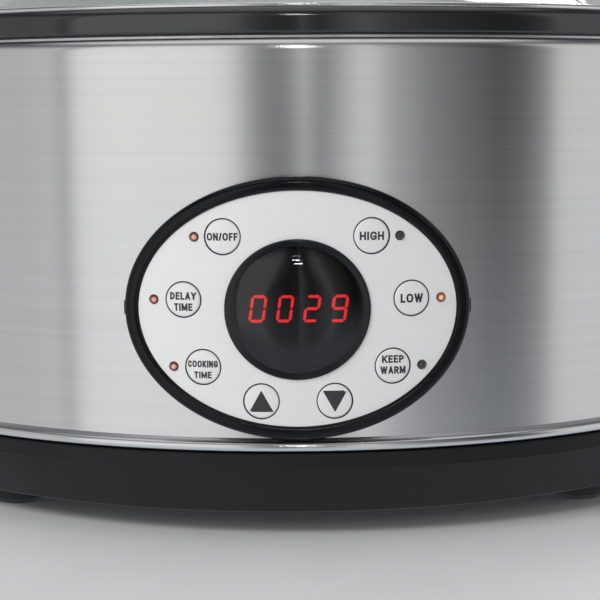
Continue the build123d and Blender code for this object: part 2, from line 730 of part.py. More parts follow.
def button(around, height):
    """Round cap with a hidden flange behind the fascia and a stem that reaches its switch."""
    turn = abs(around) / (FRONT_RADIUS + FASCIA_PROUD)
    stem_gap = BUTTON_TRAVEL + 0.15 + STEM_RADIUS * tan(turn)
    stem_end = depth_to_board(around) - SWITCH_HEIGHT / cos(turn) - stem_gap
    under = FASCIA_PROUD - FASCIA_BACK + 0.2
    crown = ThreePointArc((0, BUTTON_CROWN), (3.2, 0.48), (BUTTON_RADIUS - 0.5, 0.26))
    side = Polyline(
        crown @ 1,
        (BUTTON_RADIUS, -0.05),
        (BUTTON_RADIUS, -under),
        (BUTTON_FLANGE, -under),
        (BUTTON_FLANGE, -under - FLANGE_THICKNESS),
        (STEM_RADIUS, -under - FLANGE_THICKNESS),
        (STEM_RADIUS, -stem_end),
        (0, -stem_end),
        (0, BUTTON_CROWN),
    )
    cap = revolve(Plane.XZ * make_face([crown, side]), Axis.Z, 360)
    return panel_plane(around, height) * cap


def led(around, height):
    """Three-millimetre indicator: domed lens, collar and two leads down to the board."""
    half = radians(45)
    shoulder = (LED_RADIUS * sin(half), LED_DOME - LED_RADIUS * (1 - cos(half)))
    dome = ThreePointArc((0, LED_DOME), shoulder, (LED_RADIUS, LED_DOME - LED_RADIUS))
    collar = LED_DEPTH - 0.9
    side = Polyline(
        dome @ 1,
        (LED_RADIUS, -collar),
        (LED_FLANGE_RADIUS, -collar),
        (LED_FLANGE_RADIUS, -LED_DEPTH),
        (0, -LED_DEPTH),
        (0, LED_DOME),
    )
    body = revolve(Plane.XZ * make_face([dome, side]), Axis.Z, 360)
    turn = abs(around) / (FRONT_RADIUS + FASCIA_PROUD)
    lead_start = LED_DEPTH - 0.1
    lead_end = depth_to_board(around) - 1.2 * tan(turn)
    for x in (-LEAD_OFFSET, LEAD_OFFSET):
        lead = Box(LEAD_SIZE, LEAD_SIZE, lead_end - lead_start)
        body += Pos(x, 0, -(lead_start + lead_end) / 2) * lead
    return panel_plane(around, height) * body


def panel_screws():
    """Four small screws from inside, through the carrier and the wall into the bezel."""
    shank = Cylinder(PANEL_SCREW_RADIUS, PANEL_SCREW_LENGTH)
    head = Pos(0, 0, -PANEL_SCREW_LENGTH / 2 - 0.4) * Cylinder(2 * PANEL_SCREW_RADIUS, 1.0)
    screws = [place * (shank + head) for place in panel_screw_places()]
    return screws[0] + screws[1:]


# ---------------------------------------------------------------- handles and inlet
def handle(side):
    """Moulded carrying loop: a curved foot against the wall and a grip with a finger gap."""
    grip = polygon((112, -50), (HANDLE_REACH, -34), (HANDLE_REACH, 34), (112, 50))
    grip = rounded(grip, [((HANDLE_REACH, -34), 20), ((HANDLE_REACH, 34), 20)])
    inner = HANDLE_REACH - HANDLE_GRIP
    gap = polygon((116, -33), (inner, -26), (inner, 26), (116, 33))
    gap = rounded(gap, [((inner, -26), 9), ((inner, 26), 9)])
    gap -= Circle(END_RADIUS + 5.5)
    plan = grip - Circle(END_RADIUS + 0.1) - gap
    loop = Pos(0, 0, -HANDLE_HEIGHT / 2) * extrude(plan, HANDLE_HEIGHT)
    rims = [edge for edge in loop.edges().filter_by(Plane.XY) if outside_wall(edge)]
    loop = fillet(rims, HANDLE_ROUND)
    loop = Pos(END_CENTRE, 0, HANDLE_Z) * loop
    if side < 0:
        loop = mirror(loop, Plane.YZ)
    for place in handle_screw_planes(side):
        loop -= place * Pos(0, 0, 5) * Cylinder(HANDLE_SCREW_RADIUS + 0.05, 18)
    return loop


def outside_wall(edge):
    """Whether an edge of the handle stands clear of the housing wall."""
    point = edge.position_at(0.5)
    return sqrt(point.X**2 + point.Y**2) > END_RADIUS + 1


def handle_screw_planes(side):
    planes = []
    for angle in (-HANDLE_SCREW_ANGLE, HANDLE_SCREW_ANGLE):
        x, y = end_point(side, angle, 0)
        out = (side * cos(radians(angle)), sin(radians(angle)), 0)
        planes.append(Plane((x, y, HANDLE_Z), x_dir=(0, 0, 1), z_dir=out))
    return planes


def handle_screws():
    """Screws from inside the housing, two into each handle."""
    shank = Pos(0, 0, 5) * Cylinder(HANDLE_SCREW_RADIUS, 13)
    head = Pos(0, 0, -2.1) * Cylinder(3.8, 2.4)
    screws = []
    for side in (-1, 1):
        for place in handle_screw_planes(side):
            screws.append(place * (shank + head))
    return screws[0] + screws[1:]


def base_screws():
    screws = []
    for x, y in boss_places():
        head = Pos(x, y, COVER_BOTTOM - 1.1) * Cylinder(3.4, 2.2)
        screws.append(head + Pos(x, y, COVER_BOTTOM + 6) * Cylinder(BASE_SCREW_RADIUS, 14))
    return screws[0] + screws[1:]


def cord_gland():
    """Rubber bush at the rear of the base, where the mains lead enters."""
    length = GLAND_OUTER_END - GLAND_INNER_END
    half_section = (
        (GLAND_BORE, 0),
        (GLAND_FLANGE, 0),
        (GLAND_FLANGE, 1.9),
        (GLAND_WAIST, 1.9),
        (GLAND_WAIST, 15.5),
        (GLAND_FLANGE, 15.5),
        (GLAND_FLANGE, 18.0),
        (5.4, length),
        (GLAND_BORE, length),
    )
    return Pos(0, GLAND_INNER_END, GLAND_Z) * Rot(-90, 0, 0) * turned_part(*half_section)


# ---------------------------------------------------------------- lid
def lid_glass():
    """Toughened glass: a flat border, then a dome that flattens towards the knob."""
    run = DOME_END - DOME_START
    radius = (run**2 + DOME_RISE**2) / (2 * DOME_RISE)
    centre_z = GLASS_TOP - radius
    border = strip(-GLASS_EDGE_INSET, GLASS_BOTTOM, -DOME_START - 1.2, GLASS_BOTTOM + GLASS)
    dome = Pos(-DOME_END, centre_z) * (Circle(radius) - Circle(radius - GLASS))
    dome = dome & strip(-DOME_END, GLASS_BOTTOM, -DOME_START, GLASS_TOP + 1)
    glass = oval_ring(border + dome)
    glass += oval_plate(DOME_END, GLASS_UNDER, GLASS_TOP)
    glass -= Pos(0, 0, GLASS_TOP) * Cylinder(GLASS_HOLE_RADIUS, 12)
    return glass - Pos(VENT_X, 0, GLASS_TOP) * Cylinder(GLASS_HOLE_RADIUS, 12)


def lid_rim():
    """Steel channel rolled round the edge of the glass."""
    outer_x = -GLASS_EDGE_INSET + 0.8
    low = LEDGE + 0.3
    high = GLASS_BOTTOM + GLASS + 0.7
    channel = rounded(strip(-18.4, low, outer_x, high), [((outer_x, low), 1.0), ((outer_x, high), 1.0)])
    groove = strip(-19, GLASS_BOTTOM - 0.02, -GLASS_EDGE_INSET + 0.1, GLASS_BOTTOM + GLASS + 0.02)
    return oval_ring(channel - groove)


def lid_knob():
    """Moulded knob: a waisted stem under a broad, softly crowned top."""
    base = GLASS_TOP + KNOB_BASE_HEIGHT
    top = base + KNOB_HEIGHT
    socket = base + 17
    crown = ThreePointArc((0, top), (12, top - 1.1), (20, top - 5))
    side = Spline((20, top - 5), (20.6, top - 9), (14, top - 13), (11.2, base + 7), (13.5, base))
    inner = Polyline(
        (13.5, base),
        (KNOB_SCREW_RADIUS + 0.1, base),
        (KNOB_SCREW_RADIUS + 0.1, socket),
        (0, socket),
        (0, top),
    )
    return revolve(Plane.XZ * make_face([crown, side, inner]), Axis.Z, 360)


def knob_base():
    """Dished steel disc between the knob and the glass."""
    top = GLASS_TOP + KNOB_BASE_HEIGHT
    return turned_part(
        (GLASS_HOLE_RADIUS, GLASS_TOP),
        (19, GLASS_TOP),
        (19, GLASS_TOP + 0.6),
        (16.5, top),
        (GLASS_HOLE_RADIUS, top),
    )


def knob_washer():
    bore = KNOB_SCREW_RADIUS + 0.3
    low = GLASS_UNDER - WASHER_THICKNESS
    return turned_part((bore, low), (9, low), (9, GLASS_UNDER), (bore, GLASS_UNDER))


def knob_screw():
    """Pan-head screw from under the glass up into the knob."""
    seat = GLASS_UNDER - WASHER_THICKNESS
    tip = GLASS_TOP + 18
    return turned_part(
        (0, seat - 3),
        (3.5, seat - 3),
        (5, seat - 1.4),
        (5, seat),
        (KNOB_SCREW_RADIUS, seat),
        (KNOB_SCREW_RADIUS, tip),
        (0, tip),
    )


def vent_grommet():
    """Small steel eyelet that lets steam out through the glass."""
    low = GLASS_UNDER - 0.8
    high = GLASS_TOP + 0.9
    waist = GLASS_HOLE_RADIUS - 0.1
    return Pos(VENT_X, 0, 0) * turned_part(
        (VENT_BORE, low),
        (VENT_FLANGE, low),
        (VENT_FLANGE, GLASS_UNDER),
        (waist, GLASS_UNDER),
        (waist, GLASS_TOP),
        (VENT_FLANGE, GLASS_TOP),
        (VENT_FLANGE - 0.6, high),
        (VENT_BORE, high),
    )


# ---------------------------------------------------------------- build
def main():
    os.makedirs("parts", exist_ok=True)
    save("outer_housing", outer_housing())
    save("base_skirt", base_skirt())
    save("bottom_cover", bottom_cover())
    foot = rubber_foot()
    for corner, (x, y) in foot_places().items():
        save(f"foot_{corner}", Pos(x, y, 0) * foot)
    save("heating_liner", heating_liner())
    save("heater_band", heater_band())
    save("heater_strap", heater_strap())
    save("tie_bolt", tie_bolt())
    save("tie_washer", tie_washer())
    save("temperature_sensor", temperature_sensor())
    save("sensor_clip", sensor_clip())
    save("thermal_fuse", thermal_fuse())
    save("heater_leads", heater_leads())
    save("power_board", power_board())
    save("power_transformer", power_transformer())
    save("power_relay", on_power_board(-36, 10, 15.5, 19.5, 15.5))
    save("power_capacitors", power_capacitors())
    save("terminal_block", terminal_block())
    save("board_screws", board_screws())
    save("ribbon_cable", ribbon_cable())
    save("panel_bezel", panel_bezel())
    save("fascia_plate", fascia_plate())
    save("window_frame", window_frame())
    save("display_window", display_window())
    save("panel_carrier", panel_carrier())
    save("control_board", control_board())
    save("display_module", display_module())
    save("tact_switches", tact_switches())
    save("panel_screws", panel_screws())
    for name, place in BUTTONS.items():
        save(f"button_{name}", button(*place))
    for name, place in LEDS.items():
        save(f"led_{name}", led(*place))
    save("handle_left", handle(-1))
    save("handle_right", handle(1))
    save("handle_screws", handle_screws())
    save("base_screws", base_screws())
    save("cord_gland", cord_gland())
    save("crock", crock())
    save("lid_glass", lid_glass())
    save("lid_rim", lid_rim())
    save("lid_knob", lid_knob())
    save("knob_base", knob_base())
    save("knob_washer", knob_washer())
    save("knob_screw", knob_screw())
    save("vent_grommet", vent_grommet())


main()
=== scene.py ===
"""Looks of the oval slow cooker: materials, printed labels, lit display, studio and camera."""
import json
import math
import bmesh
import bpy
from mathutils import Matrix, Vector
from mathutils.bvhtree import BVHTree


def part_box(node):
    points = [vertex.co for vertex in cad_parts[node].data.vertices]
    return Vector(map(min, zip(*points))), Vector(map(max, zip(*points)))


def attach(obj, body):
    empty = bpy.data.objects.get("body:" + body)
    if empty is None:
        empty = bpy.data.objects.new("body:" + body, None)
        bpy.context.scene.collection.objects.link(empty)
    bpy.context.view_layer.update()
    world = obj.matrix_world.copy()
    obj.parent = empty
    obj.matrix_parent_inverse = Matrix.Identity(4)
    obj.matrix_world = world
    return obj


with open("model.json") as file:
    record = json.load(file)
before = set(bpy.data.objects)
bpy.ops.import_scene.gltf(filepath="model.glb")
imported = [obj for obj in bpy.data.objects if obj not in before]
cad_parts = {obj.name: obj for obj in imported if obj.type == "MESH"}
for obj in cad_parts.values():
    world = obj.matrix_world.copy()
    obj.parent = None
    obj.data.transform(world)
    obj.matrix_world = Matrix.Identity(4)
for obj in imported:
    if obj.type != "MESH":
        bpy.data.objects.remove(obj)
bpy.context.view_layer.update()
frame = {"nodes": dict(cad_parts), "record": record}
MM = 0.001
# Points round every ring that is made here.
SPOKES = 96

# ------------------------------------------------------------------ sizes taken from the frame
HOUSING_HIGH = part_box("outer_housing")[1]
FASCIA_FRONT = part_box("fascia_plate")[0].y
BEAD_PROUD = 3.0 * MM
END_RADIUS = 121.5 * MM
HALF_LENGTH = HOUSING_HIGH.x - BEAD_PROUD
HALF_DEPTH = HOUSING_HIGH.y - BEAD_PROUD
# The wall's front arc meets the end arcs without a corner.
FRONT_RADIUS = HALF_LENGTH**2 + HALF_DEPTH**2 - 2 * HALF_LENGTH * END_RADIUS
FRONT_RADIUS /= 2 * (HALF_DEPTH - END_RADIUS)
FRONT_CENTRE = FRONT_RADIUS - HALF_DEPTH
FASCIA_RADIUS = FRONT_CENTRE - FASCIA_FRONT

# ------------------------------------------------------------------ camera
CAMERA_PLACE = Vector((0.6, -638.0, 158.9)) * MM
CAMERA_YAW = math.radians(0.16)
CAMERA_PITCH = math.radians(8.0)
CAMERA_ROLL = math.radians(-0.39)
CAMERA_LENS = 86.0
CAMERA_SHIFT = -0.0052
CAMERA_NEAR = 0.01


def add_camera():
    ahead = Vector((
        math.sin(CAMERA_YAW) * math.cos(CAMERA_PITCH),
        math.cos(CAMERA_YAW) * math.cos(CAMERA_PITCH),
        -math.sin(CAMERA_PITCH),
    ))
    level = Vector((math.cos(CAMERA_YAW), -math.sin(CAMERA_YAW), 0))
    upright = level.cross(ahead)
    right = level * math.cos(CAMERA_ROLL) + upright * math.sin(CAMERA_ROLL)
    up = upright * math.cos(CAMERA_ROLL) - level * math.sin(CAMERA_ROLL)
    turn = Matrix((right, up, -ahead)).transposed().to_4x4()
    data = bpy.data.cameras.new("camera")
    data.lens = CAMERA_LENS
    data.shift_x = CAMERA_SHIFT
    data.clip_start = CAMERA_NEAR
    camera = bpy.data.objects.new("camera", data)
    camera.matrix_world = Matrix.Translation(CAMERA_PLACE) @ turn
    bpy.context.scene.collection.objects.link(camera)
    bpy.context.scene.camera = camera


add_camera()


# ------------------------------------------------------------------ node helpers
def add(tree, kind, inputs=None, **settings):
    """A new node; inputs maps sockets to values or to the outputs that feed them."""
    node = tree.nodes.new(kind)
    for name, value in settings.items():
        setattr(node, name, value)
    for key, value in (inputs or {}).items():
        if isinstance(value, bpy.types.NodeSocket):
            tree.links.new(value, node.inputs[key])
        else:
            node.inputs[key].default_value = value
    return node


def maths(tree, operation, *values, clamp=False):
    """Result of one sum on numbers."""
    node = add(tree, "ShaderNodeMath", dict(enumerate(values)), operation=operation, use_clamp=clamp)
    return node.outputs[0]


def vector_maths(tree, operation, *values, output="Vector", **inputs):
    """Result of one sum on vectors; output is Value where the sum gives a number."""
    inputs = dict(enumerate(values)) | inputs
    return add(tree, "ShaderNodeVectorMath", inputs, operation=operation).outputs[output]


def new_material(name):
    """An empty material with a Principled shader on its output."""
    material = bpy.data.materials.new(name)
    material.use_nodes = True
    tree = material.node_tree
    tree.nodes.clear()
    shader = tree.nodes.new("ShaderNodeBsdfPrincipled")
    output = tree.nodes.new("ShaderNodeOutputMaterial")
    tree.links.new(shader.outputs[0], output.inputs[0])
    return material, tree, shader


def object_place(tree):
    """Object coordinates in metres."""
    return add(tree, "ShaderNodeTexCoord").outputs["Object"]


def object_space(tree, scale=(1, 1, 1)):
    """Object coordinates in metres, stretched by a scale for each axis."""
    return add(tree, "ShaderNodeMapping", {"Vector": object_place(tree), "Scale": scale}).outputs[0]


def noise(tree, scale, detail=3.0, stretch=(1, 1, 1), roughness=0.5):
    """Noise value, about 0.5 on average, with features of about 1/scale metres."""
    vector = object_space(tree, stretch)
    inputs = {"Vector": vector, "Scale": scale, "Detail": detail, "Roughness": roughness}
    return add(tree, "ShaderNodeTexNoise", inputs).outputs["Fac"]


def cells(tree, scale, output):
    """Voronoi cells of about 1/scale metres: their Distance or their random Color."""
    return add(tree, "ShaderNodeTexVoronoi", {"Vector": object_space(tree), "Scale": scale}).outputs[output]


def cell_greys(tree, scale):
    """A random grey for each cell."""
    return add(tree, "ShaderNodeRGBToBW", {0: cells(tree, scale, "Color")}).outputs[0]


def spread(tree, value, low, high, from_low=0.3, from_high=0.7):
    """Maps the range from from_low to from_high, a noise value's by default, to low to high."""
    inputs = {"Value": value, "From Min": from_low, "From Max": from_high, "To Min": low, "To Max": high}
    return add(tree, "ShaderNodeMapRange", inputs).outputs[0]


def blend_colours(tree, factor, first, second, mode="MIX"):
    mix = add(tree, "ShaderNodeMix", data_type="RGBA", blend_type=mode)
    for socket, value in ((0, factor), (6, first), (7, second)):
        if isinstance(value, bpy.types.NodeSocket):
            tree.links.new(value, mix.inputs[socket])
        else:
            mix.inputs[socket].default_value = value if socket == 0 else (*value, 1)
    return mix.outputs[2]


def shades(colour, factor):
    return tuple(min(1.0, part * factor) for part in colour)


def varied(tree, factor, colour, first, second):
    """One colour that changes between two brightnesses of it."""
    return blend_colours(tree, factor, shades(colour, first), shades(colour, second))


def bump(tree, height, strength, distance, normal=None):
    inputs = {"Height": height, "Strength": strength, "Distance": distance}
    if normal is not None:
        inputs["Normal"] = normal
    return add(tree, "ShaderNodeBump", inputs).outputs[0]


def feed(tree, shader, **inputs):
    """Sets or links the shader's sockets; an underscore in a name stands for a space."""
    for key, value in inputs.items():
        socket = shader.inputs[key.replace("_", " ")]
        if isinstance(value, bpy.types.NodeSocket):
            tree.links.new(value, socket)
        else:
            socket.default_value = value


# ------------------------------------------------------------------ materials
LENS_RADIUS = 130 * MM
LENS_EDGE_START = 12 * MM
LENS_EDGE_RADIUS = 30 * MM
# A face of the lens is its front where its normal points this much ahead.
LENS_FRONT = 0.8
# A lit lamp's colour changes between these distances from its tip.
LED_CORE = 0.35 * MM
LED_RIM = 1.3 * MM
# Colour of a lit lamp's tip and rim, and how strongly it glows.
LED_LOOKS = {
    "led_red": ((1.0, 0.42, 0.31), (0.05, 0.008, 0.006), 0.15),
    "led_amber": ((1.0, 0.50, 0.22), (0.14, 0.022, 0.009), 0.28),
}


def brushed(name, colour, roughness):
    """Steel brushed along the horizontal: long fine scratches, which smear reflections upright."""
    material, tree, shader = new_material(name)
    fine = noise(tree, 1.0, stretch=(9, 9, 3600), roughness=0.6)
    wide = noise(tree, 1.0, detail=2.0, stretch=(3, 3, 420))
    smudge = noise(tree, 11.0)
    tone = spread(tree, maths(tree, "ADD", fine, wide), 0.0, 1.0, from_low=0.7, from_high=1.3)
    rough = spread(tree, fine, roughness * 0.92, roughness * 1.08)
    rough = maths(tree, "ADD", rough, spread(tree, smudge, -0.008, 0.012))
    tangent = add(tree, "ShaderNodeTangent", direction_type="RADIAL", axis="Z").outputs[0]
    feed(tree, shader, Base_Color=varied(tree, tone, colour, 0.97, 1.03), Metallic=1.0, Roughness=rough)
    feed(tree, shader, Normal=bump(tree, fine, strength=0.03, distance=0.00003))
    feed(tree, shader, Anisotropic=0.85, Anisotropic_Rotation=0.25, Tangent=tangent)
    return material


def moulded(name, colour, roughness, grain=1800.0, depth=0.00002, coat=0.0, mottle=0.12, gloss=0.5):
    """Moulded plastic: fine surface grain, slight colour mottle, uneven gloss."""
    material, tree, shader = new_material(name)
    fine = noise(tree, grain, detail=2.0)
    patch = noise(tree, 35.0, detail=4.0)
    rough = spread(tree, patch, roughness * 0.88, roughness * 1.14)
    feed(tree, shader, Base_Color=varied(tree, patch, colour, 1 - mottle, 1 + mottle), Roughness=rough)
    feed(tree, shader, Normal=bump(tree, fine, strength=0.35, distance=depth))
    feed(tree, shader, Coat_Weight=coat, Coat_Roughness=0.06, Specular_IOR_Level=gloss)
    return material


def polished(name, colour, roughness):
    """Polished or plated metal with faint wiping marks."""
    material, tree, shader = new_material(name)
    marks = noise(tree, 1.0, stretch=(40, 40, 900))
    patch = noise(tree, 60.0)
    rough = spread(tree, marks, roughness * 0.7, roughness * 1.4)
    feed(tree, shader, Base_Color=varied(tree, patch, colour, 0.94, 1.05), Metallic=1.0, Roughness=rough)
    feed(tree, shader, Normal=bump(tree, marks, strength=0.08, distance=0.00003))
    return material


def spangled(name, colour, roughness):
    """Aluminised sheet with a faint crystal spangle and rolling marks."""
    material, tree, shader = new_material(name)
    spangle = spread(tree, cell_greys(tree, 160.0), 0, 1, from_low=0, from_high=1)
    patch = noise(tree, 1.0, stretch=(20, 20, 260))
    rough = spread(tree, patch, roughness * 0.8, roughness * 1.3)
    feed(tree, shader, Base_Color=varied(tree, spangle, colour, 0.9, 1.08), Metallic=1.0, Roughness=rough)
    feed(tree, shader, Normal=bump(tree, patch, strength=0.15, distance=0.00008))
    return material


def circuit_board(name, colour):
    """Solder mask over copper tracks, with pale pads."""
    material, tree, shader = new_material(name)
    bricks = {"Vector": object_space(tree), "Scale": 90.0, "Mortar Size": 0.06, "Mortar Smooth": 0.2}
    tracks = add(tree, "ShaderNodeTexBrick", bricks).outputs["Fac"]
    pads = spread(tree, cells(tree, 260.0, "Distance"), 1.0, 0.0, from_low=0.12, from_high=0.16)
    base = blend_colours(tree, pads, varied(tree, tracks, colour, 1, 2.1), (0.62, 0.60, 0.52))
    feed(tree, shader, Base_Color=base, Roughness=0.35)
    feed(tree, shader, Normal=bump(tree, tracks, strength=0.4, distance=0.00004))
    return material


def lit_segment(name, colour, strength):
    """Display segment with a slightly uneven glow."""
    material, tree, shader = new_material(name)
    tint = varied(tree, noise(tree, 1400.0, detail=2.0), colour, 0.8, 1)
    feed(tree, shader, Base_Color=shades(colour, 0.3) + (1,), Roughness=0.4)
    feed(tree, shader, Emission_Color=tint, Emission_Strength=strength)
    return material


def led_lens(name, tip, core, rim, strength):
    """Glossy tinted dome, lit from inside at its tip, with a deeper colour round its rim."""
    material, tree, shader = new_material(name)
    from_tip = vector_maths(tree, "DISTANCE", object_place(tree), tip, output="Value")
    cloud = spread(tree, noise(tree, 900.0, detail=2.0), -0.1, 0.1)
    share = spread(tree, from_tip, 0.0, 1.0, from_low=LED_CORE, from_high=LED_RIM)
    tint = blend_colours(tree, maths(tree, "ADD", share, cloud, clamp=True), core, rim)
    feed(tree, shader, Base_Color=tint, Roughness=0.08, Emission_Color=tint, Emission_Strength=strength)
    feed(tree, shader, Coat_Weight=0.6, Coat_Roughness=0.03)
    return material


def glazed(name, colour):
    """Deep glossy glaze with a slight ripple and a few fine specks."""
    material, tree, shader = new_material(name)
    ripple = noise(tree, 38.0, detail=2.0)
    speck = spread(tree, cells(tree, 420.0, "Distance"), 1.0, 0.0, from_low=0.05, from_high=0.09)
    base = varied(tree, noise(tree, 22.0, detail=4.0), colour, 1, 1.7)
    base = blend_colours(tree, speck, base, (0.07, 0.065, 0.06))
    feed(tree, shader, Base_Color=base, Roughness=spread(tree, ripple, 0.07, 0.13))
    feed(tree, shader, Normal=bump(tree, ripple, strength=0.25, distance=0.0006))
    feed(tree, shader, Coat_Weight=0.6, Coat_Roughness=0.03)
    return material


def clear_glass(name):
    """Toughened soda glass: faint green body, slight waviness and a few wiping smears."""
    material, tree, shader = new_material(name)
    wave = noise(tree, 18.0, detail=2.0)
    smear = noise(tree, 1.0, detail=4.0, stretch=(60, 25, 40))
    base = blend_colours(tree, wave, (0.93, 0.98, 0.96), (0.97, 1.0, 0.99))
    feed(tree, shader, Base_Color=base, Roughness=spread(tree, smear, 0.0, 0.03))
    feed(tree, shader, IOR=1.5, Transmission_Weight=1.0)
    feed(tree, shader, Normal=bump(tree, wave, strength=0.05, distance=0.0008))
    return material


def lens_normal(tree):
    """Exact normal of the lens's domed front; elsewhere on the lens, the face's own normal."""
    low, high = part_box("display_window")
    middle = Vector((0, 0, (low.z + high.z) / 2))
    forwards = (0, -1, 0)
    flat = vector_maths(tree, "SUBTRACT", object_place(tree), middle)
    flat = vector_maths(tree, "MULTIPLY", flat, (1, 0, 1))
    reach = vector_maths(tree, "LENGTH", flat, output="Value")
    beyond = maths(tree, "MAXIMUM", maths(tree, "SUBTRACT", reach, LENS_EDGE_START), 0.0)
    extra = maths(tree, "MULTIPLY", beyond, 1 / LENS_EDGE_RADIUS - 1 / LENS_RADIUS)
    lean = maths(tree, "MULTIPLY_ADD", reach, 1 / LENS_RADIUS, extra)
    outwards = vector_maths(tree, "SCALE", vector_maths(tree, "NORMALIZE", flat), Scale=lean)
    rest = maths(tree, "SUBTRACT", 1.0, maths(tree, "MULTIPLY", lean, lean), clamp=True)
    ahead = vector_maths(tree, "SCALE", forwards, Scale=maths(tree, "POWER", rest, 0.5))
    exact = vector_maths(tree, "ADD", outwards, ahead)
    own = add(tree, "ShaderNodeNewGeometry").outputs["Normal"]
    facing = vector_maths(tree, "DOT_PRODUCT", own, forwards, output="Value")
    front = maths(tree, "GREATER_THAN", facing, LENS_FRONT)
    return add(tree, "ShaderNodeMix", {0: front, 4: own, 5: exact}, data_type="VECTOR").outputs[1]


def smoked_lens(name):
    """Polished smoked acrylic: dark tint, high gloss, very slight moulding ripple."""
    material, tree, shader = new_material(name)
    wave = noise(tree, 45.0, detail=2.0)
    tint = blend_colours(tree, noise(tree, 30.0, detail=2.0), (0.10, 0.095, 0.11), (0.12, 0.115, 0.13))
    feed(tree, shader, Base_Color=tint, Roughness=spread(tree, noise(tree, 500.0), 0.005, 0.012))
    feed(tree, shader, Transmission_Weight=1.0, IOR=1.52)
    feed(tree, shader, Normal=bump(tree, wave, strength=0.03, distance=0.0002, normal=lens_normal(tree)))
    return material


def silver_lacquer(name, colour, roughness):
    """Satin silver lacquer: fine metallic flake under a soft clear coat."""
    material, tree, shader = new_material(name)
    flake = cell_greys(tree, 5200.0)
    patch = noise(tree, 1.0, detail=2.0, stretch=(26, 26, 5))
    tint = blend_colours(tree, patch, (1.0, 0.975, 0.985), (0.975, 1.0, 0.985))
    base = blend_colours(tree, 1.0, varied(tree, flake, colour, 0.955, 1.03), tint, mode="MULTIPLY")
    rough = spread(tree, flake, roughness * 0.9, roughness * 1.1, from_low=0, from_high=1)
    feed(tree, shader, Base_Color=base, Metallic=0.22, Roughness=rough)
    feed(tree, shader, Normal=bump(tree, flake, strength=0.05, distance=0.00001))
    feed(tree, shader, Coat_Weight=0.05, Coat_Roughness=0.3)
    return material


def woven(name, colour):
    """Woven glass-fibre sleeve."""
    material, tree, shader = new_material(name)
    threads = {"Vector": object_space(tree), "Scale": 700.0, "Distortion": 2.0}
    weave = add(tree, "ShaderNodeTexWave", threads).outputs["Fac"]
    feed(tree, shader, Base_Color=varied(tree, weave, colour, 0.72, 1), Roughness=0.8)
    feed(tree, shader, Normal=bump(tree, weave, strength=0.6, distance=0.0001))
    return material


MATERIALS = {}


def define(slot, make, *looks, **extras):
    """Makes the finished material of one slot of the record."""
    MATERIALS[slot] = make(slot, *looks, **extras)


# Colour, then roughness, then what differs from the usual grain, depth, coat, mottle or gloss.
define("housing_steel", brushed, (0.665, 0.66, 0.655), 0.2)
define("base_black", moulded, (0.008, 0.008, 0.0085), 0.5, grain=2200.0, gloss=0.3)
define("cover_metal", moulded, (0.05, 0.05, 0.052), 0.45, grain=1300.0, depth=0.00004)
define("foot_rubber", moulded, (0.018, 0.018, 0.018), 0.75, grain=900.0, depth=0.00006)
define("liner_metal", spangled, (0.60, 0.60, 0.61), 0.36)
define("mica_band", moulded, (0.42, 0.34, 0.24), 0.5, grain=500.0, depth=0.0001, mottle=0.3)
define("zinc_screw", polished, (0.62, 0.62, 0.65), 0.24)
define("sensor_metal", polished, (0.68, 0.68, 0.70), 0.2)
define("fuse_body", moulded, (0.75, 0.70, 0.60), 0.7)
define("lead_insulation", woven, (0.72, 0.70, 0.64))
define("board_green", circuit_board, (0.015, 0.11, 0.045))
define("component_black", moulded, (0.02, 0.02, 0.022), 0.3)
define("relay_blue", moulded, (0.03, 0.09, 0.32), 0.3)
define(
    "transformer_core", moulded, (0.16, 0.10, 0.05), 0.35, grain=700.0, depth=0.00008, coat=0.4, mottle=0.3
)
define("ribbon_grey", moulded, (0.5, 0.5, 0.52), 0.5)
define("bezel_black", moulded, (0.003, 0.0038, 0.0052), 0.11, grain=700.0, depth=0.000004, gloss=0.22)
define("fascia_silver", silver_lacquer, (0.90, 0.90, 0.895), 0.46)
define("window_dark", smoked_lens)
define("carrier_grey", moulded, (0.03, 0.03, 0.032), 0.5)
define("switch_black", moulded, (0.03, 0.03, 0.03), 0.4)
define("led_dark", moulded, (0.016, 0.010, 0.009), 0.10, grain=600.0, depth=0.000004, coat=0.8)
define("handle_black", moulded, (0.020, 0.020, 0.021), 0.42, grain=1500.0, depth=0.00004)
define("gland_rubber", moulded, (0.02, 0.02, 0.02), 0.6, grain=1200.0, depth=0.00003)
define("crock_glaze", glazed, (0.010, 0.010, 0.011))
define("clear_glass", clear_glass)
define("rim_steel", polished, (0.70, 0.70, 0.71), 0.14)
define("knob_black", moulded, (0.012, 0.012, 0.013), 0.16, grain=900.0, depth=0.000008, coat=0.4)
define("silicone", moulded, (0.70, 0.68, 0.64), 0.5)


def led_tip(node):
    """Foremost point of a lamp's dome."""
    return max(frame["nodes"][node].data.vertices, key=lambda vertex: -vertex.co.y).co.copy()


def finished_material(node, slot):
    """The slot's material, or the node's own where it has one."""
    if slot in LED_LOOKS:
        return led_lens(node, led_tip(node), *LED_LOOKS[slot])
    if node == "window_frame":
        colour = (0.004, 0.005, 0.008)
        return moulded("window_frame_black", colour, 0.12, grain=700.0, depth=0.000004, gloss=0.4)
    return MATERIALS[slot]


def dress_frame():
    """Gives every CAD node its finished material."""
    slots = {entry["node"]: entry["material_slot"] for entry in frame["record"]["subparts"]}
    for node, part in frame["nodes"].items():
        material = finished_material(node, slots[node])
        if not part.material_slots:
            part.data.materials.append(material)
        for place in part.material_slots:
            place.material = material


dress_frame()


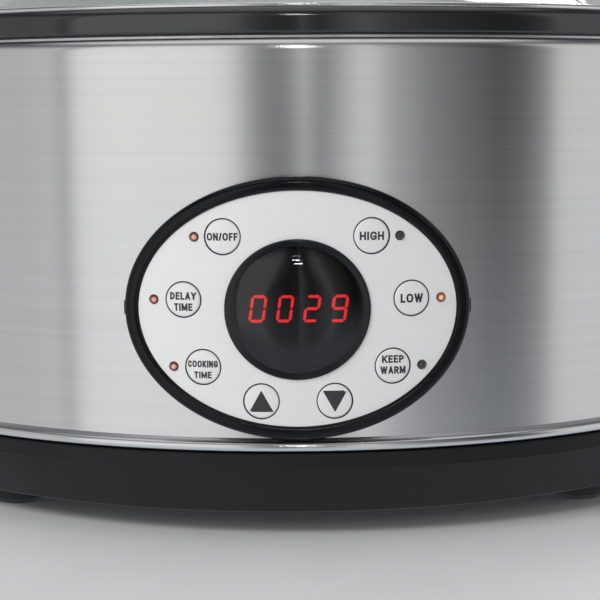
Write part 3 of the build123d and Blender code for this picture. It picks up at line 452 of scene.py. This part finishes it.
# ------------------------------------------------------------------ panel pieces
BUTTON_NAMES = [node[len("button_"):] for node in frame["nodes"] if node.startswith("button_")]
BUTTON_RADIUS = 6.07 * MM
BUTTON_GAP = 0.35 * MM
# Black ring of painted shadow in the gap round each button: inner and outer radius, lip over the fascia,
# then top, underside and bottom heights.
SHADE_RING_INNER = BUTTON_RADIUS + 0.03 * MM
SHADE_RING_OUTER = BUTTON_RADIUS + BUTTON_GAP - 0.01 * MM
SHADE_RING_LIP = SHADE_RING_OUTER + 0.12 * MM
SHADE_RING_TOP = 0.05 * MM
SHADE_RING_UNDER = 0.01 * MM
SHADE_RING_BOTTOM = -0.8 * MM
PRINT_LIFT = 0.012 * MM
PRINT_THICKNESS = 0.03 * MM
# How far above a button the search for its face starts.
PRINT_SEARCH = 5 * MM
LINE_PITCH = 3.95 * MM
# Words on each button, with each line's width and capital height in millimetres.
LABELS = {
    "on_off": [("ON/OFF", 10.9, 2.7)],
    "delay_time": [("DELAY", 9.4, 2.7), ("TIME", 6.6, 2.7)],
    "cooking_time": [("COOKING", 10.7, 2.4), ("TIME", 6.3, 2.4)],
    "high": [("HIGH", 8.6, 3.0)],
    "low": [("LOW", 8.1, 3.2)],
    "keep_warm": [("KEEP", 7.9, 2.7), ("WARM", 9.1, 2.7)],
}
# How far below the middle of its button a pair of lines sits.
LABEL_DROP = {"delay_time": 0.65 * MM, "cooking_time": 0.8 * MM, "keep_warm": -0.5 * MM}
# Letters: width, then strokes along their middles, in shares of the letter's width and height.
BOWL = [(1, 0.78), (1, 1), (0, 1), (0, 0), (1, 0), (1, 0.22)]
GLYPHS = {
    "A": (0.66, [[(0, 0), (0.5, 1)], [(1, 0), (0.5, 1)], [(0.25, 0.27), (0.75, 0.27)]]),
    "C": (0.62, [BOWL]),
    "D": (0.62, [[(0, 0), (0, 1)], [(0, 1), (1, 1), (1, 0), (0, 0)]]),
    "E": (0.52, [[(0, 0), (0, 1)], [(0, 1), (1, 1)], [(0, 0.52), (0.85, 0.52)], [(0, 0), (1, 0)]]),
    "F": (0.50, [[(0, 0), (0, 1)], [(0, 1), (1, 1)], [(0, 0.5), (0.85, 0.5)]]),
    "G": (0.66, [BOWL, [(1, 0.22), (1, 0.42)], [(0.62, 0.42), (1, 0.42)]]),
    "H": (0.62, [[(0, 0), (0, 1)], [(1, 0), (1, 1)], [(0, 0.5), (1, 0.5)]]),
    "I": (0.20, [[(0.5, 0), (0.5, 1)]]),
    "K": (0.64, [[(0, 0), (0, 1)], [(0.08, 0.38), (0.92, 1)], [(0.36, 0.56), (0.95, 0)]]),
    "L": (0.50, [[(0, 0), (0, 1)], [(0, 0), (1, 0)]]),
    "M": (0.78, [[(0, 0), (0, 1)], [(1, 0), (1, 1)], [(0.04, 1), (0.5, 0.1)], [(0.96, 1), (0.5, 0.1)]]),
    "N": (0.64, [[(0, 0), (0, 1)], [(1, 0), (1, 1)], [(0.04, 1), (0.96, 0)]]),
    "O": (0.72, [[(0.5, 1), (0, 1), (0, 0), (1, 0), (1, 1), (0.5, 1)]]),
    "P": (0.58, [[(0, 0), (0, 1)], [(0, 1), (1, 1), (1, 0.44), (0, 0.44)]]),
    "R": (0.62, [[(0, 0), (0, 1)], [(0, 1), (1, 1), (1, 0.46), (0, 0.46)], [(0.5, 0.46), (0.97, 0)]]),
    "T": (0.56, [[(0, 1), (1, 1)], [(0.5, 0), (0.5, 1)]]),
    "W": (0.92, [[(0, 1), (0.26, 0)], [(0.26, 0), (0.5, 1)], [(0.5, 1), (0.74, 0)], [(0.74, 0), (1, 1)]]),
    "Y": (0.64, [[(0, 1), (0.5, 0.42)], [(1, 1), (0.5, 0.42)], [(0.5, 0), (0.5, 0.42)]]),
    "/": (0.36, [[(0, 0), (1, 1)]]),
}
LETTER_GAP = 0.10
LETTER_WEIGHT = 0.22
LETTER_RUN = 0.5 * MM
SAME_POINT = LETTER_RUN / 100
# A straight stroke slants where it runs this far both across and up.
SLANT_RUN = LETTER_RUN / 10
# Its ends are lengthened to suit where its direction leans more than this both ways.
SLANT_LEAN = 0.1
INNER_ROUND = 0.5
END_ROUND = 0.85
CORNER_STEPS = 6
ARROW_WIDTH = 8.6 * MM
ARROW_HEIGHT = 7.5 * MM
ARROW_TIP = 0.03
ARROW_BANDS = 14
# Columns of faces on each side of the arrow's middle.
ARROW_COLUMNS = 3


def button_matrix(name):
    """Place of a button on the fascia's front: X along the panel, Y up, Z out of it."""
    low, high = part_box("button_" + name)
    middle = (low + high) / 2
    turn = math.atan2(middle.x, FRONT_CENTRE - middle.y)
    across = Vector((math.cos(turn), math.sin(turn), 0))
    out = Vector((math.sin(turn), -math.cos(turn), 0))
    place = Matrix((across, Vector((0, 0, 1)), out)).transposed().to_4x4()
    place.translation = Vector((0, FRONT_CENTRE, middle.z)) + out * FASCIA_RADIUS
    return place


def finish_mesh(mesh, name):
    """Turns the faces outwards and writes the mesh out."""
    bmesh.ops.recalc_face_normals(mesh, faces=mesh.faces)
    made = bpy.data.meshes.new(name)
    mesh.to_mesh(made)
    mesh.free()
    return made


def link(name, mesh, material, body):
    """A finished piece in the scene that rides on a body."""
    piece = bpy.data.objects.new(name, mesh)
    bpy.context.scene.collection.objects.link(piece)
    mesh.materials.clear()
    mesh.materials.append(material)
    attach(piece, body)


def circle():
    """Cosine and sine of evenly spaced angles once round."""
    angles = (2 * math.pi * spoke / SPOKES for spoke in range(SPOKES))
    return [(math.cos(angle), math.sin(angle)) for angle in angles]


def join_rings(mesh, near, far):
    """A band of faces between two closed rings of as many points."""
    for number in range(len(near)):
        after = (number + 1) % len(near)
        mesh.faces.new((near[number], far[number], far[after], near[after]))


def curve_points(points):
    """Rounds every inner corner of a path into a wide arc."""
    path = [Vector(points[0])]
    last = len(points) - 2
    for number in range(1, len(points) - 1):
        before, corner, after = (Vector(points[number + step]) for step in (-1, 0, 1))
        start = corner.lerp(before, END_ROUND if number == 1 else INNER_ROUND)
        end = corner.lerp(after, END_ROUND if number == last else INNER_ROUND)
        for step in range(CORNER_STEPS + 1):
            share = step / CORNER_STEPS
            path.append(start * (1 - share) ** 2 + corner * 2 * share * (1 - share) + end * share**2)
    path.append(Vector(points[-1]))
    kept = [point for point, after in zip(path, path[1:]) if (after - point).length > SAME_POINT]
    return kept + path[-1:]


def straight_points(points):
    """Cuts a straight path into short runs, so that it can follow a dome."""
    start, end = Vector(points[0]), Vector(points[-1])
    runs = max(1, math.ceil((end - start).length / LETTER_RUN))
    return [start.lerp(end, step / runs) for step in range(runs + 1)]


def stroke_sides(path, half, slanting):
    """Pairs of points on both sides of a path; a slanting stroke is cut level at its ends."""
    pairs = []
    for number, point in enumerate(path):
        before = path[max(number - 1, 0)]
        after = path[min(number + 1, len(path) - 1)]
        along = (after - before).normalized()
        side = Vector((half / abs(along.y), 0)) if slanting else Vector((-along.y, along.x)) * half
        pairs.append((point + side, point - side))
    return pairs


def add_stroke(mesh, points, half):
    """One flat stroke of a letter, with square ends, as a closed strip."""
    ends = [Vector(point) for point in points]
    straight = len(ends) == 2
    closed = (ends[0] - ends[-1]).length < SAME_POINT
    if not closed:
        first = (ends[0] - ends[1]).normalized()
        last = (ends[-1] - ends[-2]).normalized()
        slope = abs(first.y) if straight and min(abs(first.x), abs(first.y)) > SLANT_LEAN else 1
        ends[0] += first * half / slope
        ends[-1] += last * half / slope
    path = straight_points(ends) if straight else curve_points(ends)
    run = path[-1] - path[0]
    slanting = straight and min(abs(run.x), abs(run.y)) > SLANT_RUN
    rows = []
    for sides in stroke_sides(path, half, slanting):
        rows.append([mesh.verts.new((side.x, side.y, z)) for z in (0, PRINT_THICKNESS) for side in sides])
    if closed:
        bmesh.ops.delete(mesh, geom=rows.pop(), context="VERTS")
    for near, far in zip(rows, rows[1:] + rows[:1] if closed else rows[1:]):
        for first, second in ((0, 1), (1, 3), (3, 2), (2, 0)):
            mesh.faces.new((near[first], near[second], far[second], far[first]))
    if not closed:
        for row in (rows[0], rows[-1]):
            mesh.faces.new((row[0], row[1], row[3], row[2]))


def text_mesh(words, width, height):
    """Bold condensed capitals, centred, of a given width and height."""
    natural = sum(GLYPHS[letter][0] for letter in words) + LETTER_GAP * (len(words) - 1)
    stretch = width / natural
    half = height * LETTER_WEIGHT / 2
    mesh = bmesh.new()
    x = -width / 2
    for letter in words:
        wide, strokes = GLYPHS[letter]
        across = wide * stretch - 2 * half
        for stroke in strokes:
            points = [(x + half + u * across, (v - 0.5) * (height - 2 * half)) for u, v in stroke]
            add_stroke(mesh, points, half)
        x += (wide + LETTER_GAP) * stretch
    return finish_mesh(mesh, "words")


def arrow_mesh(sign):
    """Solid triangle with a blunt tip, cut into bands so that it can follow a dome; sign is 1 for up."""
    columns = range(2 * ARROW_COLUMNS)
    above = 2 * ARROW_COLUMNS + 1
    mesh = bmesh.new()
    rows = []
    for step in range(ARROW_BANDS + 1):
        share = step / ARROW_BANDS
        half = ARROW_WIDTH / 2 * (ARROW_TIP + (1 - ARROW_TIP) * share)
        y = sign * ARROW_HEIGHT * (0.5 - share)
        places = [half * side / ARROW_COLUMNS for side in range(-ARROW_COLUMNS, ARROW_COLUMNS + 1)]
        rows.append([mesh.verts.new((x, y, z)) for z in (0, PRINT_THICKNESS) for x in places])
    for upper, lower in zip(rows, rows[1:]):
        for left in columns:
            right = left + 1
            near, far = above + left, above + right
            mesh.faces.new((upper[near], lower[near], lower[far], upper[far]))
            mesh.faces.new((upper[left], upper[right], lower[right], lower[left]))
        for edge in (0, 2 * ARROW_COLUMNS):
            mesh.faces.new((upper[edge], lower[edge], lower[above + edge], upper[above + edge]))
    for row in (rows[0], rows[-1]):
        for left in columns:
            mesh.faces.new((row[left], row[above + left], row[above + left + 1], row[left + 1]))
    return finish_mesh(mesh, "arrow")


def print_on_button(mesh, shift, name):
    """Lays flat print on a button's domed face, a hair above it."""
    place = button_matrix(name)
    out = place.to_3x3() @ Vector((0, 0, 1))
    cap = frame["nodes"]["button_" + name].data
    tree = BVHTree.FromPolygons([v.co for v in cap.vertices], [tuple(p.vertices) for p in cap.polygons])
    for vertex in mesh.vertices:
        above = place @ Vector((vertex.co.x, vertex.co.y + shift, PRINT_SEARCH))
        face = tree.ray_cast(above, -out)[0]
        vertex.co = face + out * (PRINT_LIFT + vertex.co.z)
    mesh.update()


def add_labels():
    ink = moulded("label_ink", (0.035, 0.034, 0.036), 0.5, grain=3000.0, depth=0.00001)
    for name, lines in LABELS.items():
        for number, (words, width, height) in enumerate(lines):
            mesh = text_mesh(words, width * MM, height * MM)
            shift = LINE_PITCH * ((len(lines) - 1) / 2 - number) - LABEL_DROP.get(name, 0)
            print_on_button(mesh, shift, name)
            link(f"label_{name}_{number + 1}", mesh, ink, "button_" + name)
    for name, sign in (("time_up", 1), ("time_down", -1)):
        mesh = arrow_mesh(sign)
        print_on_button(mesh, 0, name)
        link(f"label_{name}", mesh, ink, "button_" + name)


def add_shade_rings():
    """Black rings of painted shadow that fill the gap round each button and lie on the fascia by their lip.
    """
    section = [
        (SHADE_RING_INNER, SHADE_RING_TOP), (SHADE_RING_LIP, SHADE_RING_TOP), (SHADE_RING_LIP, SHADE_RING_UNDER),
        (SHADE_RING_OUTER, SHADE_RING_UNDER), (SHADE_RING_OUTER, SHADE_RING_BOTTOM), (SHADE_RING_INNER, SHADE_RING_BOTTOM),
    ]
    mesh = bmesh.new()
    for name in BUTTON_NAMES:
        place = button_matrix(name)
        loops = []
        for cosine, sine in circle():
            loop = []
            for radius, height in section:
                x, y = radius * cosine, radius * sine
                loop.append(mesh.verts.new(place @ Vector((x, y, height - x**2 / (2 * FASCIA_RADIUS)))))
            loops.append(loop)
        for near, far in zip(loops, loops[1:] + loops[:1]):
            join_rings(mesh, near, far)
    # Painted shadow: near-black rough rings stand in for the shade in the button gaps.
    shadow_look = moulded("shadow_black", (0.006, 0.006, 0.006), 0.7, grain=1500.0)
    link("button_gap_shadows", finish_mesh(mesh, "button_gap_shadows"), shadow_look, "cooker")


# ------------------------------------------------------------------ display
DIGITS = "0029"
DIGIT_HEIGHT = 9.5 * MM
DIGIT_WIDTH = 5.4 * MM
DIGIT_PITCH = 9.35 * MM
DIGIT_SLANT = math.radians(8)
SEGMENT = 1.0 * MM
SEGMENT_GAP = 0.12 * MM
DIGIT_PROUD = 0.12 * MM
DIGIT_RAISE = 0.1 * MM
DIGIT_GLOW = 8.0
CARD_AHEAD = 1.6 * MM
CARD_THICKNESS = 0.5 * MM
# The card's front face and raised edge, as shares of its half width and height.
CARD_FACE = 0.94
CARD_EDGE = 0.97
CARD_EDGE_PROUD = 0.25 * MM
# Bars that are lit for each digit: a at the top, then clockwise, and g across the middle.
LIT_BARS = {"0": "abcdef", "2": "abged", "9": "abcdfg"}


def segment_outlines():
    """Corner points of the seven bars of one digit, centred on the digit."""
    half_w = (DIGIT_WIDTH - SEGMENT) / 2
    half_h = (DIGIT_HEIGHT - SEGMENT) / 2
    ends = {
        "a": ((-half_w, half_h), (half_w, half_h)),
        "b": ((half_w, half_h), (half_w, 0)),
        "c": ((half_w, 0), (half_w, -half_h)),
        "d": ((-half_w, -half_h), (half_w, -half_h)),
        "e": ((-half_w, 0), (-half_w, -half_h)),
        "f": ((-half_w, half_h), (-half_w, 0)),
        "g": ((-half_w, 0), (half_w, 0)),
    }
    outlines = {}
    for name, (start, end) in ends.items():
        start, end = Vector(start), Vector(end)
        along = (end - start).normalized()
        side = Vector((-along.y, along.x)) * (SEGMENT / 2)
        tip = along * (SEGMENT / 2)
        start += along * SEGMENT_GAP
        end -= along * SEGMENT_GAP
        left = [start, start + tip + side, end - tip + side]
        outlines[name] = left + [end, end - tip - side, start + tip - side]
    return outlines


def add_card(half_width, half_height, front, middle_z):
    """Black oval card behind the lens, with a raised edge."""
    rows = [(CARD_FACE, 0.0), (CARD_EDGE, -CARD_EDGE_PROUD), (1.0, -CARD_EDGE_PROUD), (1.0, CARD_THICKNESS)]
    mesh = bmesh.new()
    rings = []
    for share, depth in rows:
        ring = []
        for cosine, sine in circle():
            place = (half_width * share * cosine, front + depth, middle_z + half_height * share * sine)
            ring.append(mesh.verts.new(place))
        rings.append(ring)
    mesh.faces.new(rings[0])
    mesh.faces.new(rings[-1])
    for near, far in zip(rings, rings[1:]):
        join_rings(mesh, near, far)
    card = moulded("card_black", (0.004, 0.0035, 0.0045), 0.6, grain=1500.0, depth=0.00001)
    link("display_card", finish_mesh(mesh, "display_card"), card, "cooker")


def add_display():
    """Lit seven-segment digits on the face of the display block, in front of a black card."""
    window_low, window_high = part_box("display_window")
    module_low, module_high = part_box("display_module")
    middle_x = (module_low.x + module_high.x) / 2
    middle_z = (window_low.z + window_high.z) / 2
    card_y = module_low.y - CARD_AHEAD
    bars_y = card_y - DIGIT_PROUD
    outlines = segment_outlines()
    mesh = bmesh.new()
    for number, digit in enumerate(DIGITS):
        x0 = middle_x + DIGIT_PITCH * (number - (len(DIGITS) - 1) / 2)
        for name in LIT_BARS[digit]:
            outline = []
            for point in outlines[name]:
                x = x0 + point.x + point.y * math.tan(DIGIT_SLANT)
                outline.append((x, middle_z + DIGIT_RAISE + point.y))
            front, back = ([mesh.verts.new((x, y, z)) for x, z in outline] for y in (bars_y, card_y))
            mesh.faces.new(front)
            mesh.faces.new(back)
            join_rings(mesh, front, back)
    glow = lit_segment("digit_glow", (1.0, 0.02, 0.02), DIGIT_GLOW)
    link("display_digits", finish_mesh(mesh, "display_digits"), glow, "cooker")
    add_card(window_high.x, window_high.z - middle_z, card_y, middle_z)


add_labels()
add_shade_rings()
add_display()


# ------------------------------------------------------------------ studio
# Studio walls round the cooker: bearing in degrees from straight ahead of the panel, and brightness.
WALL_BANDS = [
    (-180, 0.55), (-150, 0.90), (-120, 0.35), (-92, 0.57), (-62, 0.58), (-55, 0.66), (-53, 0.36),
    (-51.5, 0.42), (-49.5, 0.96), (-40, 1.0), (-18, 0.96), (-14, 0.84), (-11, 0.48), (-8, 0.24),
    (-3, 0.10), (0, 0.16), (1.6, 0.64), (3.2, 0.24), (5.5, 0.15), (8, 0.36), (15, 0.82), (21, 0.44),
    (30, 0.22), (36, 0.16), (45, 0.06), (51, 0.10), (57, 0.28), (60, 0.73), (72, 0.76), (110, 0.30),
    (145, 0.85), (180, 0.55),
]
# What lies over the walls: colour, its share at the lower and upper height, and these two heights
# as the sine of their angle above the horizon.
TABLE = (0.76, 0.82, 0.90)
TABLE_SHADE = (0.58, 0.645, 0.70)
CEILING = (0.10, 0.11, 0.13)
SKYLIGHT = (0.80, 0.82, 0.85)
OVER_WALLS = [
    (TABLE, 0.25, 0.0, -0.24, -0.02),
    (TABLE_SHADE, 0.92, 0.0, -0.5, -0.26),
    (CEILING, 0.0, 1.0, 0.50, 0.75),
    (SKYLIGHT, 0.0, 1.0, 0.80, 0.90),
]
STUDIO_STRENGTH = 1.05
FLOOR_HALF = 6.0
# The backdrop's sweep: where it leaves the floor, the radius of its bend, and its top.
SWEEP_START = 2.2
SWEEP_BEND = 1.6
SWEEP_TOP = 5.0
SWEEP_STEPS = 16
SWEEP_LIFT = 0.001
# Point at the cooker's front that the strips face.
STRIP_TARGET = (0, -0.146, 0.1)
# Name, place, what it faces, width and height in metres, watts, and whether it shows in reflections.
LIGHTS = [
    ("key_light", (-1.15, -1.25, 1.4), (0, 0, 0.1), (1.0, 0.7), 18, False),
    ("rear_light", (0.5, 1.1, 1.4), (0, 0, 0.15), (1.0, 0.5), 12, False),
    ("upper_strip", (-0.03, -2.0, 1.05), STRIP_TARGET, (0.20, 0.045), 0.8, True),
    ("lower_strip", (0.03, -2.0, 0.86), STRIP_TARGET, (0.20, 0.045), 0.8, True),
]


def add_world():
    """Soft studio: upright bands of light and shade all round, a dim ceiling and a pale table."""
    world = bpy.data.worlds.new("studio")
    bpy.context.scene.world = world
    world.use_nodes = True
    tree = world.node_tree
    tree.nodes.clear()
    direction = add(tree, "ShaderNodeTexCoord").outputs["Generated"]
    x, y, height = add(tree, "ShaderNodeSeparateXYZ", {0: direction}).outputs
    bearing = maths(tree, "ARCTAN2", x, maths(tree, "MULTIPLY", y, -1.0))
    place = spread(tree, bearing, 0.0, 1.0, from_low=-math.pi, from_high=math.pi)
    ramp = add(tree, "ShaderNodeValToRGB", {0: place})
    stops = ramp.color_ramp.elements
    while len(stops) > 1:
        stops.remove(stops[-1])
    for number, (angle, level) in enumerate(WALL_BANDS):
        position = (angle + 180) / 360
        stop = stops[0] if number == 0 else stops.new(position)
        stop.position = position
        stop.color = (level, level, level, 1)
    colour = ramp.outputs[0]
    for tint, *shares_and_heights in OVER_WALLS:
        colour = blend_colours(tree, spread(tree, height, *shares_and_heights), colour, tint)
    background = add(tree, "ShaderNodeBackground", {"Color": colour, "Strength": STUDIO_STRENGTH})
    output = tree.nodes.new("ShaderNodeOutputWorld")
    tree.links.new(background.outputs[0], output.inputs[0])


def add_light(name, place, target, size, power, shining):
    data = bpy.data.lights.new(name, "AREA")
    data.shape = "RECTANGLE"
    data.size, data.size_y = size
    data.energy = power
    light = bpy.data.objects.new(name, data)
    light.location = place
    light.rotation_mode = "QUATERNION"
    light.rotation_quaternion = (Vector(target) - Vector(place)).to_track_quat("-Z", "Y")
    light.visible_glossy = shining
    bpy.context.scene.collection.objects.link(light)


def add_floor(paper):
    """Plain pale floor, far wider than the view."""
    mesh = bpy.data.meshes.new("floor")
    corners = [(x * FLOOR_HALF, y * FLOOR_HALF, 0) for x, y in ((-1, -1), (1, -1), (1, 1), (-1, 1))]
    mesh.from_pydata(corners, [], [(0, 1, 2, 3)])
    mesh.materials.append(paper)
    floor = bpy.data.objects.new("floor", mesh)
    bpy.context.scene.collection.objects.link(floor)
    floor.visible_glossy = False


def add_backdrop(paper):
    """Pale sweep that rises from the floor all round, seen only directly."""
    angles = [math.pi / 2 * step / SWEEP_STEPS for step in range(SWEEP_STEPS + 1)]
    profile = [(SWEEP_START + SWEEP_BEND * math.sin(a), SWEEP_BEND * (1 - math.cos(a))) for a in angles]
    profile.append((SWEEP_START + SWEEP_BEND, SWEEP_TOP))
    mesh = bmesh.new()
    rings = []
    for reach, height in profile:
        places = [(reach * cosine, reach * sine, height + SWEEP_LIFT) for cosine, sine in circle()]
        rings.append([mesh.verts.new(place) for place in places])
    for near, far in zip(rings, rings[1:]):
        for spoke in range(SPOKES):
            after = (spoke + 1) % SPOKES
            mesh.faces.new((near[spoke], near[after], far[after], far[spoke]))
    made = bpy.data.meshes.new("backdrop")
    mesh.to_mesh(made)
    mesh.free()
    made.polygons.foreach_set("use_smooth", [True] * len(made.polygons))
    made.materials.append(paper)
    backdrop = bpy.data.objects.new("backdrop", made)
    bpy.context.scene.collection.objects.link(backdrop)
    backdrop.visible_glossy = False
    backdrop.visible_diffuse = False
    backdrop.visible_shadow = False


def add_studio():
    add_world()
    paper = moulded("floor_paper", (0.80, 0.80, 0.79), 0.7, grain=400.0, depth=0.00004, mottle=0.01)
    add_floor(paper)
    add_backdrop(paper)
    for light in LIGHTS:
        add_light(*light)
    bpy.context.scene.view_settings.view_transform = "Standard"


add_studio()
